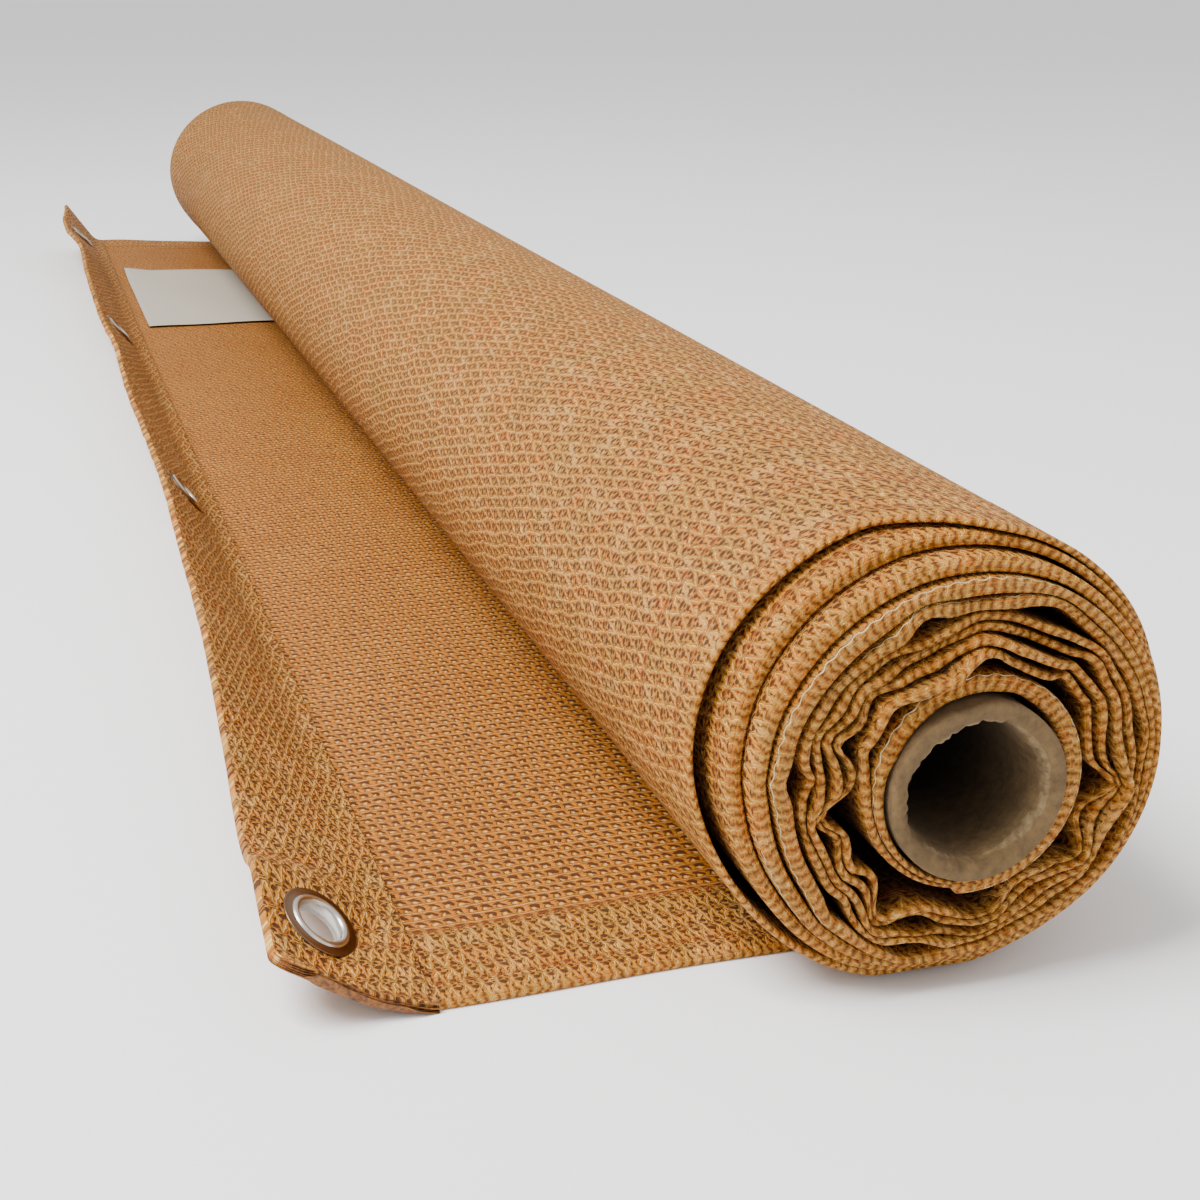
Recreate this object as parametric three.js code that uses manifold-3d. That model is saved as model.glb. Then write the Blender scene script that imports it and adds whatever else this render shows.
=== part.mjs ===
// Privacy screen netting: hemmed knitted net wound on a cardboard core, its outer end lying loose.
// Millimetres, +Z up. The roll's axis runs along Y, its near end faces -Y, the loose end lies to -X.
import * as THREE from 'three';
import { mergeVertices } from 'three/addons/utils/BufferGeometryUtils.js';
import Module from 'manifold-3d';

const wasm = await Module();
wasm.setup();

// Driving sizes of the net and its roll
const NET_WIDTH = 1524;
const ROLL_RADIUS = 68.6;
const OUTER_SWELL = 0.9;
const OUTER_DROP = 2;
const PLY = 1.8;
const HEM_THICKNESS = 3.2;
const HEM_WIDTH = 44;
const HEM_TAPER = 4;
const STRIP_THICKNESS = 3.4;
const GAP = 0.3;

// Cardboard core, which lies a little below the roll's centre and to its right
const CORE_OUTER = 26.2;
const CORE_INNER = 19.3;
const CORE_SIDE = 5.2;
const CORE_DROP = 5;
const CORE_NEAR = -28;
const CORE_FAR = 1506;

// The roll sinks by this much, which gives its flat spot
const ROLL_SINK = 0.6;
const AXIS_HEIGHT = ROLL_RADIUS - ROLL_SINK;
const STEP_HEIGHT = HEM_THICKNESS + GAP;

// Inner turns slid out of the near end, and lie back by as much at the far end
const NEAR_FACE = -22;
const FAR_FACE = NET_WIDTH + NEAR_FACE;
const WRAP_RADIUS = 32.2;
const CAVITY_FLOOR = -2;
const FAR_HOLLOW = 14;
const FOLD_DEPTH = 5;
const ROLL_SIDES = 72;
const FLAT_DEPTH = 8;

// Loose end: the seam is the inner side of the hem strip that holds the eyelets
const SEAM_X = -139;
const STRIP_WIDTH = 46;
const STRIP_BEND = 0.28;
const CORNER_RADIUS = 7;
const LAP_NEAR = 8.5;
const LAP_SLANT = 4;
const EYELET_INSET = 15.5;

// Eyelet of two pressed rings
const EYELET_HOLE = 7.6;
const EYELET_BARREL = 8.4;
const EYELET_FLANGE = 13.7;
const EYELET_SHEET = 0.9;
const EYELET_SIDES = 24;
const CUTTER_REACH = 6;

// Bare white label sewn along the far half of the loose end
const LABEL = { left: -131, right: -34, near: 1072, far: 1338, thickness: 0.6 };

// Where the outermost turn's near edge lies, round the roll from the bottom: degrees, mm along Y
const OUTER_EDGE = [
  { angle: -90, y: 10 },
  { angle: -40, y: 2 },
  { angle: 0, y: -9 },
  { angle: 45, y: -15 },
  { angle: 75, y: -15 },
  { angle: 92, y: -6 },
  { angle: 108, y: 2 },
  { angle: 140, y: 2 },
  { angle: 175, y: 0 },
  { angle: 198, y: -6 },
  { angle: 215, y: -16 },
  { angle: 270, y: -18 },
];

// Inner side of the crumpled inner turns round the core, and the gap between them and the tight
// outer turns: degrees round the roll's axis, mm from it
const CRUMPLE = [
  { angle: -90, r: 41.5 },
  { angle: -78, r: 46 },
  { angle: -66, r: 42 },
  { angle: -56, r: 41.3 },
  { angle: -46, r: 43 },
  { angle: -37, r: 49 },
  { angle: -25, r: 43 },
  { angle: -12, r: 48.5 },
  { angle: -3, r: 41.5 },
  { angle: 8, r: 39.5 },
  { angle: 20, r: 41 },
  { angle: 36, r: 39.5 },
  { angle: 48, r: 34.5 },
  { angle: 62, r: 32.8 },
  { angle: 74, r: 33.5 },
  { angle: 92, r: 30.5 },
  { angle: 108, r: 28.6 },
  { angle: 124, r: 29.8 },
  { angle: 140, r: 33.4 },
  { angle: 150, r: 32 },
  { angle: 161, r: 36 },
  { angle: 170, r: 31 },
  { angle: 180, r: 29.4 },
  { angle: 188, r: 31.5 },
  { angle: 195, r: 37.6 },
  { angle: 207, r: 34.8 },
  { angle: 221, r: 37.4 },
  { angle: 232, r: 35.8 },
  { angle: 244, r: 44.6 },
  { angle: 256, r: 40.5 },
  { angle: 270, r: 41.5 },
];
const SPLIT = [
  { angle: -90, r: 54 },
  { angle: -60, r: 54.5 },
  { angle: -40, r: 57.2 },
  { angle: -5, r: 57.8 },
  { angle: 20, r: 56.3 },
  { angle: 45, r: 52.5 },
  { angle: 70, r: 48.5 },
  { angle: 90, r: 45.5 },
  { angle: 110, r: 43.5 },
  { angle: 135, r: 44 },
  { angle: 165, r: 46 },
  { angle: 185, r: 45.2 },
  { angle: 210, r: 46.3 },
  { angle: 230, r: 50 },
  { angle: 250, r: 54 },
  { angle: 270, r: 54 },
];

// How the hem strip stands up off the floor along the net: mm along Y, the lean of its outer side
// in radians, and how far its seam is lifted
const STRIP_SHAPE = [
  { y: 0, lean: 0.46, seamLift: 0 },
  { y: 62, lean: 0.46, seamLift: 0 },
  { y: 160, lean: 0.64, seamLift: 0 },
  { y: 260, lean: 0.8, seamLift: 0 },
  { y: 380, lean: 0.88, seamLift: 0 },
  { y: 484, lean: 0.94, seamLift: 0 },
  { y: 528, lean: 0.94, seamLift: 0 },
  { y: 700, lean: 0.91, seamLift: 0 },
  { y: 830, lean: 0.96, seamLift: 0 },
  { y: 945, lean: 0.9, seamLift: 0 },
  { y: 989, lean: 0.9, seamLift: 0 },
  { y: 1140, lean: 0.92, seamLift: 1 },
  { y: 1270, lean: 0.99, seamLift: 2 },
  { y: 1406, lean: 0.8, seamLift: 5 },
  { y: 1450, lean: 0.8, seamLift: 5 },
  { y: 1524, lean: 0.96, seamLift: 6 },
];
const TIP_START = 1380;
const EYELET_FIRST = 45;
const EYELET_SPACING = 461;
const EYELETS_Y = [0, 1, 2, 3].map((i) => EYELET_FIRST + i * EYELET_SPACING);

// Cubic curve through a table's rows, with the slope at each row taken from its neighbours
function along(rows, key, at, column) {
  const last = rows.length - 1;
  if (at <= rows[0][key]) return rows[0][column];
  if (at >= rows[last][key]) return rows[last][column];
  let i = 0;
  while (rows[i + 1][key] < at) i += 1;
  const slope = (k) => {
    if (k === 0 || k === last) return 0;
    const before = (rows[k][column] - rows[k - 1][column]) / (rows[k][key] - rows[k - 1][key]);
    const after = (rows[k + 1][column] - rows[k][column]) / (rows[k + 1][key] - rows[k][key]);
    return before * after <= 0 ? 0 : (2 * before * after) / (before + after);
  };
  const span = rows[i + 1][key] - rows[i][key];
  const t = (at - rows[i][key]) / span;
  const t2 = t * t;
  const t3 = t2 * t;
  return rows[i][column] * (2 * t3 - 3 * t2 + 1) + slope(i) * span * (t3 - 2 * t2 + t)
    + rows[i + 1][column] * (3 * t2 - 2 * t3) + slope(i + 1) * span * (t3 - t2);
}

function blend(low, high, value) {
  const t = Math.min(1, Math.max(0, (value - low) / (high - low)));
  return t * t * (3 - 2 * t);
}

// Geometry from points and triangles: shared corners merged, flat slivers dropped, faces outwards
function solidFrom(points, triangles) {
  let geometry = new THREE.BufferGeometry();
  geometry.setAttribute('position', new THREE.Float32BufferAttribute(points.flat(), 3));
  geometry.setIndex(triangles.flat());
  geometry = mergeVertices(geometry, 1e-3);
  const index = geometry.getIndex().array;
  const kept = [];
  for (let i = 0; i < index.length; i += 3) {
    const [a, b, c] = [index[i], index[i + 1], index[i + 2]];
    if (a !== b && b !== c && c !== a) kept.push(a, b, c);
  }
  geometry.setIndex(signedVolume(geometry, kept) < 0 ? kept.reverse() : kept);
  return geometry;
}

function signedVolume(geometry, index) {
  const position = geometry.getAttribute('position');
  const [a, b, c] = [new THREE.Vector3(), new THREE.Vector3(), new THREE.Vector3()];
  let total = 0;
  for (let i = 0; i < index.length; i += 3) {
    a.fromBufferAttribute(position, index[i]);
    b.fromBufferAttribute(position, index[i + 1]);
    c.fromBufferAttribute(position, index[i + 2]);
    total += a.dot(b.cross(c));
  }
  return total / 6;
}

// Ring of closed sections, the last joined to the first
function ringSolid(sections) {
  const count = sections[0].length;
  const triangles = [];
  sections.forEach((section, i) => {
    const next = (i + 1) % sections.length;
    section.forEach((point, j) => {
      const k = (j + 1) % count;
      const [a, b, c, d] = [i * count + j, next * count + j, next * count + k, i * count + k];
      triangles.push([a, b, c], [a, c, d]);
    });
  });
  return solidFrom(sections.flat(), triangles);
}

// Sheet with thickness: a surface over a grid of u and v, thickened along its own normal
function sheetSolid(columns, rows, surface, thickness) {
  const points = [];
  const id = (side, i, j) => side * columns.length * rows.length + j * columns.length + i;
  const step = 1e-2;
  [-0.5, 0.5].forEach((side) => {
    rows.forEach((v) => columns.forEach((u) => {
      const middle = surface(u, v);
      const acrossU = surface(u + step, v).sub(surface(u - step, v));
      const acrossV = surface(u, v + step).sub(surface(u, v - step));
      const normal = acrossU.cross(acrossV).normalize();
      middle.addScaledVector(normal, side * thickness(u, v));
      points.push(middle.toArray());
    }));
  });
  const triangles = [];
  const quad = (a, b, c, d) => triangles.push([a, b, c], [a, c, d]);
  const [lastI, lastJ] = [columns.length - 1, rows.length - 1];
  for (let j = 0; j < lastJ; j += 1) {
    for (let i = 0; i < lastI; i += 1) {
      quad(id(1, i, j), id(1, i + 1, j), id(1, i + 1, j + 1), id(1, i, j + 1));
      quad(id(0, i, j + 1), id(0, i + 1, j + 1), id(0, i + 1, j), id(0, i, j));
    }
    quad(id(0, lastI, j), id(0, lastI, j + 1), id(1, lastI, j + 1), id(1, lastI, j));
    quad(id(1, 0, j), id(1, 0, j + 1), id(0, 0, j + 1), id(0, 0, j));
  }
  for (let i = 0; i < lastI; i += 1) {
    quad(id(0, i, 0), id(0, i + 1, 0), id(1, i + 1, 0), id(1, i, 0));
    quad(id(1, i, lastJ), id(1, i + 1, lastJ), id(0, i + 1, lastJ), id(0, i, lastJ));
  }
  return solidFrom(points, triangles);
}

function steps(from, to, count) {
  return Array.from({ length: count + 1 }, (_, i) => from + ((to - from) * i) / count);
}

// Boolean cut of one closed geometry by others
function cut(geometry, cutters) {
  const asManifold = (source) => {
    const bare = source.clone();
    bare.deleteAttribute('normal');
    bare.deleteAttribute('uv');
    const merged = mergeVertices(bare, 1e-4);
    return new wasm.Manifold(new wasm.Mesh({
      numProp: 3,
      vertProperties: new Float32Array(merged.getAttribute('position').array),
      triVerts: new Uint32Array(merged.getIndex().array),
    }));
  };
  const result = cutters.reduce((body, cutter) => body.subtract(asManifold(cutter)), asManifold(geometry));
  const mesh = result.getMesh();
  const out = new THREE.BufferGeometry();
  out.setAttribute('position', new THREE.Float32BufferAttribute(mesh.vertProperties, 3));
  out.setIndex(Array.from(mesh.triVerts));
  return out;
}

// Wound roll: the outside is a spiral that drops one turn's thickness at the bottom, where the loose
// end leaves it. The profile runs over the outside, down the far end, through the bore and back.
function outerRadius(angle) {
  return ROLL_RADIUS + OUTER_SWELL - (OUTER_DROP * (angle + 90)) / 360;
}

// Slow swell and hollow of the outside along the roll
function swell(angle, y) {
  const a = THREE.MathUtils.degToRad(angle);
  return 0.8 * Math.sin((Math.PI * 3 * y) / NET_WIDTH + 0.5) * Math.sin(2 * a + 0.7) - 0.6;
}

function rollProfile(angle) {
  const outer = outerRadius(angle);
  const edge = along(OUTER_EDGE, 'angle', angle, 'y');
  const leftward = blend(40, 100, angle);
  const setBack = blend(-14, -2, edge) * leftward;
  const shoulder = outer - 3.2 - 1.6 * leftward - setBack;
  const cavity = along(CRUMPLE, 'angle', angle, 'r');
  const split = along(SPLIT, 'angle', angle, 'r');
  const bore = CORE_OUTER + GAP;
  const outside = [60, 240, 480, 760, 1040, 1300, 1460].map((y) => (
    { r: outer + swell(angle, y), y, onSurface: true }));
  const nearEnd = [
    { r: bore, y: NEAR_FACE - 4, onCore: true },
    { r: WRAP_RADIUS - 0.6, y: NEAR_FACE - 3, onCore: true },
    { r: WRAP_RADIUS, y: NEAR_FACE, onCore: true },
    { r: WRAP_RADIUS + 0.8, y: CAVITY_FLOOR, onCore: true },
    { r: cavity - 0.5, y: CAVITY_FLOOR },
    { r: cavity, y: NEAR_FACE + 2 },
    { r: cavity + 2.5, y: NEAR_FACE },
    { r: split - 1.4, y: NEAR_FACE - 1 },
    { r: split, y: NEAR_FACE + FOLD_DEPTH },
    { r: split + 1.4, y: NEAR_FACE },
    { r: shoulder - 3, y: NEAR_FACE + 0.5 },
    { r: shoulder, y: NEAR_FACE + 2 + 2 * leftward },
    { r: shoulder + 0.2, y: edge + 2 + 6 * setBack },
    { r: outer - 2.7, y: edge + 2 + 6 * setBack },
    { r: outer - 2.4, y: edge },
    { r: outer, y: edge + 0.8 },
  ];
  const farEnd = [
    { r: outer, y: NET_WIDTH - 0.8 },
    { r: outer - 2.6, y: NET_WIDTH },
    { r: outer - 3.6, y: FAR_FACE + 8 },
    { r: outer - 5, y: FAR_FACE + 3 },
    { r: split + 1.4, y: FAR_FACE },
    { r: split, y: FAR_FACE - FOLD_DEPTH },
    { r: split - 1.4, y: FAR_FACE - 1 },
    { r: cavity + 2, y: FAR_FACE },
    { r: cavity, y: FAR_FACE - FAR_HOLLOW },
    { r: WRAP_RADIUS + 0.8, y: FAR_FACE - FAR_HOLLOW, onCore: true },
    { r: WRAP_RADIUS, y: FAR_FACE, onCore: true },
    { r: bore, y: FAR_FACE + 1, onCore: true },
  ];
  return [...nearEnd, ...outside, ...farEnd];
}

// Where the roll lies flat its surface touches the floor, and the turns within keep their own depth
function woundRoll() {
  const angles = steps(-90, 270, ROLL_SIDES);
  const sections = angles.map((angle) => rollProfile(angle).map((point) => {
    const { r, y, onCore = false, onSurface = false } = point;
    const a = THREE.MathUtils.degToRad(angle);
    const depth = onCore || onSurface ? 0 : Math.min(outerRadius(angle) - r, FLAT_DEPTH);
    const floor = (angle > 90 ? STEP_HEIGHT : 0) + depth;
    const x = (onCore ? CORE_SIDE : 0) + r * Math.cos(a);
    const z = AXIS_HEIGHT - (onCore ? CORE_DROP : 0) + r * Math.sin(a);
    const atJoin = !onCore && (angle === -90 || angle === 270);
    return [atJoin ? 0 : x, y, Math.max(z, floor)];
  }));
  return ringSolid(sections);
}

// Cardboard core: a closed profile turned round the roll's axis
function coreTube() {
  const length = CORE_FAR - CORE_NEAR;
  const profile = [
    new THREE.Vector2(CORE_INNER, 0),
    new THREE.Vector2(CORE_OUTER, 0),
    new THREE.Vector2(CORE_OUTER, length),
    new THREE.Vector2(CORE_INNER, length),
    new THREE.Vector2(CORE_INNER, 0),
  ];
  return new THREE.LatheGeometry(profile, 40);
}

// Hem strip, from its seam at u = 0 to its outer side at u = 1, and v in mm along the net
function stripWidth(v) {
  const inset = LAP_NEAR + CORNER_RADIUS - v;
  if (inset <= 0) return STRIP_WIDTH;
  return STRIP_WIDTH - CORNER_RADIUS + Math.sqrt(Math.max(0, CORNER_RADIUS ** 2 - inset ** 2));
}

function stripSurface(u, v) {
  const lean = along(STRIP_SHAPE, 'y', v, 'lean');
  const bend = STRIP_BEND * stripWidth(v);
  const arc = Math.min(u / STRIP_BEND, 1) * lean;
  const straight = Math.max(0, u - STRIP_BEND) * stripWidth(v);
  const out = (Math.sin(arc) * bend) / lean + straight * Math.cos(lean);
  const up = ((1 - Math.cos(arc)) * bend) / lean + straight * Math.sin(lean);
  const seamLift = along(STRIP_SHAPE, 'y', v, 'seamLift');
  return new THREE.Vector3(SEAM_X - out, v, STRIP_THICKNESS / 2 + seamLift + up);
}

function eyeletFrame(y) {
  const u = 1 - EYELET_INSET / STRIP_WIDTH;
  const step = 1e-2;
  const acrossU = stripSurface(u - step, y).sub(stripSurface(u + step, y));
  const acrossV = stripSurface(u, y + step).sub(stripSurface(u, y - step));
  const normal = acrossU.cross(acrossV).normalize();
  const turn = new THREE.Quaternion().setFromUnitVectors(new THREE.Vector3(0, 1, 0), normal);
  return { centre: stripSurface(u, y), turn };
}

// Cutter for one eyelet: the barrel's hole, wider on the underside where the back ring is pressed in
function eyeletCutter(y) {
  const half = STRIP_THICKNESS / 2;
  const recess = EYELET_SHEET + 2 * GAP;
  const profile = [
    new THREE.Vector2(0, -half - CUTTER_REACH),
    new THREE.Vector2(EYELET_FLANGE, -half - CUTTER_REACH),
    new THREE.Vector2(EYELET_FLANGE, -half + recess),
    new THREE.Vector2(EYELET_BARREL + GAP, -half + recess),
    new THREE.Vector2(EYELET_BARREL + GAP, half + CUTTER_REACH),
    new THREE.Vector2(0, half + CUTTER_REACH),
  ];
  const { centre, turn } = eyeletFrame(y);
  const cutter = new THREE.LatheGeometry(profile, EYELET_SIDES);
  cutter.applyQuaternion(turn);
  cutter.translate(centre.x, centre.y, centre.z);
  return cutter;
}

function eyeletHem() {
  const columns = [0, 0.14, 0.28, 0.52, 0.76, 1];
  const near = steps(LAP_NEAR, LAP_NEAR + CORNER_RADIUS, 4);
  const middle = steps(LAP_NEAR + CORNER_RADIUS, TIP_START, 50).slice(1);
  const far = steps(TIP_START, NET_WIDTH, 10).slice(1);
  const flip = (u, v) => stripSurface(1 - u, v);
  const strip = sheetSolid(columns, [...near, ...middle, ...far], flip, () => STRIP_THICKNESS);
  return cut(strip, EYELETS_Y.map(eyeletCutter));
}

// Loose end between the seam and the roll, thicker along its two hems
function flapThickness(v) {
  const near = 1 - blend(HEM_WIDTH - HEM_TAPER, HEM_WIDTH, v);
  const far = blend(NET_WIDTH - HEM_WIDTH, NET_WIDTH - HEM_WIDTH + HEM_TAPER, v);
  const hem = Math.max(near, far);
  return PLY + (HEM_THICKNESS - PLY) * hem;
}

function flapLift(x, v) {
  const seamLift = along(STRIP_SHAPE, 'y', v, 'seamLift');
  const reach = blend(-28, SEAM_X, x);
  const cockle = 0.9 * Math.sin(v / 71 + x / 37) ** 2 * blend(60, 200, v) * blend(-20, -70, x)
    * blend(SEAM_X, SEAM_X + 30, x);
  return seamLift * reach + cockle;
}

function flapSurface(x, v) {
  const slant = LAP_SLANT * blend(SEAM_X, -50, x) * (1 - blend(LAP_NEAR, 160, v));
  return new THREE.Vector3(x, v + slant, flapThickness(v) / 2 + flapLift(x, v));
}

function looseFlap() {
  const columns = steps(SEAM_X + GAP, -GAP, 8);
  const nearHem = [LAP_NEAR, HEM_WIDTH - HEM_TAPER, HEM_WIDTH];
  const middle = steps(HEM_WIDTH, NET_WIDTH - HEM_WIDTH, 44).slice(1);
  const farHem = [NET_WIDTH - HEM_WIDTH + HEM_TAPER, NET_WIDTH - 20, NET_WIDTH];
  return sheetSolid(columns, [...nearHem, ...middle, ...farHem], flapSurface, (x, v) => flapThickness(v));
}

function labelSurface(x, v) {
  const rise = (flapThickness(v) + LABEL.thickness) / 2 + 2 * GAP;
  return flapSurface(x, v).add(new THREE.Vector3(0, 0, rise));
}

function label() {
  const columns = steps(LABEL.left, LABEL.right, 5);
  const rows = steps(LABEL.near, LABEL.far, 10);
  return sheetSolid(columns, rows, labelSurface, () => LABEL.thickness);
}

// Eyelet: the front ring's flange and barrel with the back ring's flange, one closed profile
function eyeletRing() {
  const half = STRIP_THICKNESS / 2;
  const top = half + GAP;
  const bottom = -half + 0.2;
  const profile = [
    new THREE.Vector2(EYELET_HOLE, bottom),
    new THREE.Vector2(EYELET_FLANGE - 0.5, bottom),
    new THREE.Vector2(EYELET_FLANGE - 0.5, bottom + EYELET_SHEET),
    new THREE.Vector2(EYELET_BARREL, bottom + EYELET_SHEET),
    new THREE.Vector2(EYELET_BARREL, top),
    new THREE.Vector2(EYELET_FLANGE, top),
    new THREE.Vector2(EYELET_FLANGE - 0.4, top + EYELET_SHEET),
    new THREE.Vector2(EYELET_HOLE + 1.4, top + EYELET_SHEET + 0.6),
    new THREE.Vector2(EYELET_HOLE, top + EYELET_SHEET - 0.1),
    new THREE.Vector2(EYELET_HOLE, bottom),
  ];
  return new THREE.LatheGeometry(profile, EYELET_SIDES);
}

function material(color, roughness, metalness) {
  return new THREE.MeshStandardMaterial({ color, roughness, metalness });
}

const NETTING = [0xc8924e, 0.85, 0];
const CARDBOARD = [0x8f7a60, 0.95, 0];
const NICKEL = [0xb9b3a8, 0.28, 1];
const LABEL_CLOTH = [0xe6e0d6, 0.8, 0];

const object = new THREE.Group();

function add(name, geometry, finish) {
  const mesh = new THREE.Mesh(geometry, material(...finish));
  mesh.name = name;
  object.add(mesh);
  return mesh;
}

const core = add('core_tube', coreTube(), CARDBOARD);
core.position.set(CORE_SIDE, CORE_NEAR, AXIS_HEIGHT - CORE_DROP);
add('wound_roll', woundRoll(), NETTING);
add('loose_flap', looseFlap(), NETTING);
add('eyelet_hem', eyeletHem(), NETTING);
add('label', label(), LABEL_CLOTH);
EYELETS_Y.forEach((y, i) => {
  const { centre, turn } = eyeletFrame(y);
  const ring = add(`eyelet_${i + 1}`, eyeletRing(), NICKEL);
  ring.position.copy(centre);
  ring.quaternion.copy(turn);
});

// Origin under the middle of the whole object, on the floor
const group = new THREE.Group();
group.add(object);
const box = new THREE.Box3().setFromObject(object, true);
object.position.set(-(box.min.x + box.max.x) / 2, -(box.min.y + box.max.y) / 2, -box.min.z);

export default group;
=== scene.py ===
# %% [markdown]
# Privacy screen netting on its roll
# A knitted net, hemmed all round, is wound on a cardboard core and lies on a pale floor. Its outer
# end lies loose beside the roll, with a thicker strip that holds four eyelets. The CAD solids give
# the places and sizes; here each soft piece is made again as the cloth that it is.

# %% Load the frame
import math
import bpy
import numpy as np
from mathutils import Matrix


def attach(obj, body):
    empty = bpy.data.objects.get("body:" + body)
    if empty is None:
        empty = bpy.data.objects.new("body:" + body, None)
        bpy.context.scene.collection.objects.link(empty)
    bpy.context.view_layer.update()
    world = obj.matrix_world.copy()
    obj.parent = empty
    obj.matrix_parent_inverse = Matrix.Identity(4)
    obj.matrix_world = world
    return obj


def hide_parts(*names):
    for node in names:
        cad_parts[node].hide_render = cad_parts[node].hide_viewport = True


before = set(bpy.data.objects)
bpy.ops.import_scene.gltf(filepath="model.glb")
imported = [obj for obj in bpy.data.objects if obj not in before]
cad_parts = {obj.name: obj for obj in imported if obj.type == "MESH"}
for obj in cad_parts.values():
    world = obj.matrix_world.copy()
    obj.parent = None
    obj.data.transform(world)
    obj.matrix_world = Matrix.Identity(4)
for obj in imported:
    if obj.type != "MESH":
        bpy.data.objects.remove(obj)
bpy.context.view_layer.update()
MM = 0.001

# %% [markdown]
# The camera
# It stands low in front of the roll's near end and looks along it, a little to the right. A long
# lens keeps the far end from shrinking too much. It is made before anything else. AXIS is where
# the middle of the near hem, under the roll's axis, lies in the frame; all points here start there.

# %% Place the camera
AXIS = np.array([56.43, -748.01, 0.0])
FROM_AXIS = np.array([-238.5, -478.6, 283.7])
LOOKS_DOWN = 18.22
LOOKS_RIGHT = 16.71
camera_data = bpy.data.cameras.new("view_camera")
camera_data.lens = 60.2
camera_data.sensor_width = 36.0
camera_data.sensor_height = 36.0
camera_data.clip_start = 0.05
camera = bpy.data.objects.new("view_camera", camera_data)
bpy.context.scene.collection.objects.link(camera)
camera.location = (AXIS + FROM_AXIS) * MM
camera.rotation_euler = (math.radians(90 - LOOKS_DOWN), 0, math.radians(-LOOKS_RIGHT))
bpy.context.scene.camera = camera
print("camera at", tuple(camera.location))

# %% [markdown]
# Helpers
# Every finish here is a pattern worked out from where a point lies, as sums, waves and noise.
# Wired node by node its meaning soon gets lost, so a small class lets it be written as arithmetic.
# Every piece is a grid of points from one formula, so one function makes a piece from arrays, and
# another numbers a grid's faces. Two more give smooth curves through measured rows.

# %% Helpers for materials
class Field:
    """A number that varies over a surface: a shader socket, with arithmetic as on numbers."""

    def __init__(self, tree, socket):
        self.tree, self.socket = tree, socket

    def _math(self, operation, *values):
        node = self.tree.nodes.new("ShaderNodeMath")
        node.operation = operation
        for slot, value in zip(node.inputs, values):
            if isinstance(value, Field):
                self.tree.links.new(value.socket, slot)
            else:
                slot.default_value = value
        return Field(self.tree, node.outputs[0])

    def __add__(self, other):
        return self._math("ADD", self, other)

    def __radd__(self, other):
        return self._math("ADD", other, self)

    def __sub__(self, other):
        return self._math("SUBTRACT", self, other)

    def __rsub__(self, other):
        return self._math("SUBTRACT", other, self)

    def __mul__(self, other):
        return self._math("MULTIPLY", self, other)

    def __rmul__(self, other):
        return self._math("MULTIPLY", other, self)

    def __truediv__(self, other):
        return self._math("DIVIDE", self, other)

    def __abs__(self):
        return self._math("ABSOLUTE", self)

    def floor(self):
        return self._math("FLOOR", self)

    def fract(self):
        return self._math("FRACT", self)

    def sin(self):
        return self._math("SINE", self)

    def sqrt(self):
        return self._math("SQRT", self)

    def above(self, limit):
        return self._math("GREATER_THAN", self, limit)

    def below(self, limit):
        return self._math("LESS_THAN", self, limit)

    def max(self, other):
        return self._math("MAXIMUM", self, other)

    def min(self, other):
        return self._math("MINIMUM", self, other)

    def clamp(self):
        return self.max(0.0).min(1.0)

    def round_ridge(self, radius):
        """Height of a round thread over its middle: the root of 1 - (distance / radius) squared."""
        share = self / radius
        return (1.0 - share * share).max(0.0).sqrt()


class Finish:
    """A material with its node tree and the few node kinds that the finishes here need."""

    def __init__(self, name, roughness=0.6, **sockets):
        self.material = bpy.data.materials.new(name)
        self.material.use_nodes = True
        self.tree = self.material.node_tree
        self.shader = self.tree.nodes["Principled BSDF"]
        self.shader.inputs["Roughness"].default_value = roughness
        for socket, value in sockets.items():
            self.shader.inputs[socket.replace("_", " ")].default_value = value

    def link(self, source, target):
        self.tree.links.new(source.socket if isinstance(source, Field) else source, target)

    def coordinates(self, kind):
        return self.tree.nodes.new("ShaderNodeTexCoord").outputs[kind]

    def split(self, vector):
        node = self.tree.nodes.new("ShaderNodeSeparateXYZ")
        self.tree.links.new(vector, node.inputs[0])
        return [Field(self.tree, out) for out in node.outputs]

    def join(self, x, y, z=0.0):
        node = self.tree.nodes.new("ShaderNodeCombineXYZ")
        for slot, value in zip(node.inputs, (x, y, z)):
            if isinstance(value, Field):
                self.link(value, slot)
            else:
                slot.default_value = value
        return node.outputs[0]

    def noise(self, vector, scale, detail=2.0, roughness=0.5):
        node = self.tree.nodes.new("ShaderNodeTexNoise")
        self.tree.links.new(vector, node.inputs["Vector"])
        node.inputs["Scale"].default_value = scale
        node.inputs["Detail"].default_value = detail
        node.inputs["Roughness"].default_value = roughness
        return Field(self.tree, node.outputs["Fac"])

    def chance(self, x, y):
        node = self.tree.nodes.new("ShaderNodeTexWhiteNoise")
        node.noise_dimensions = "2D"
        self.tree.links.new(self.join(x, y), node.inputs["Vector"])
        return Field(self.tree, node.outputs["Value"])

    def blend(self, share, first, second):
        """Colour that goes from first to second as share goes from 0 to 1."""
        node = self.tree.nodes.new("ShaderNodeMix")
        node.data_type = "RGBA"
        self.link(share, node.inputs[0])
        for slot, value in ((node.inputs[6], first), (node.inputs[7], second)):
            if isinstance(value, tuple):
                slot.default_value = (*value, 1.0)
            else:
                self.tree.links.new(value, slot)
        return node.outputs[2]

    def bump(self, height, distance, strength=1.0):
        node = self.tree.nodes.new("ShaderNodeBump")
        node.inputs["Strength"].default_value = strength
        node.inputs["Distance"].default_value = distance
        self.link(height, node.inputs["Height"])
        self.tree.links.new(node.outputs[0], self.shader.inputs["Normal"])

    def paint(self, colour):
        self.tree.links.new(colour, self.shader.inputs["Base Color"])


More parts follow.
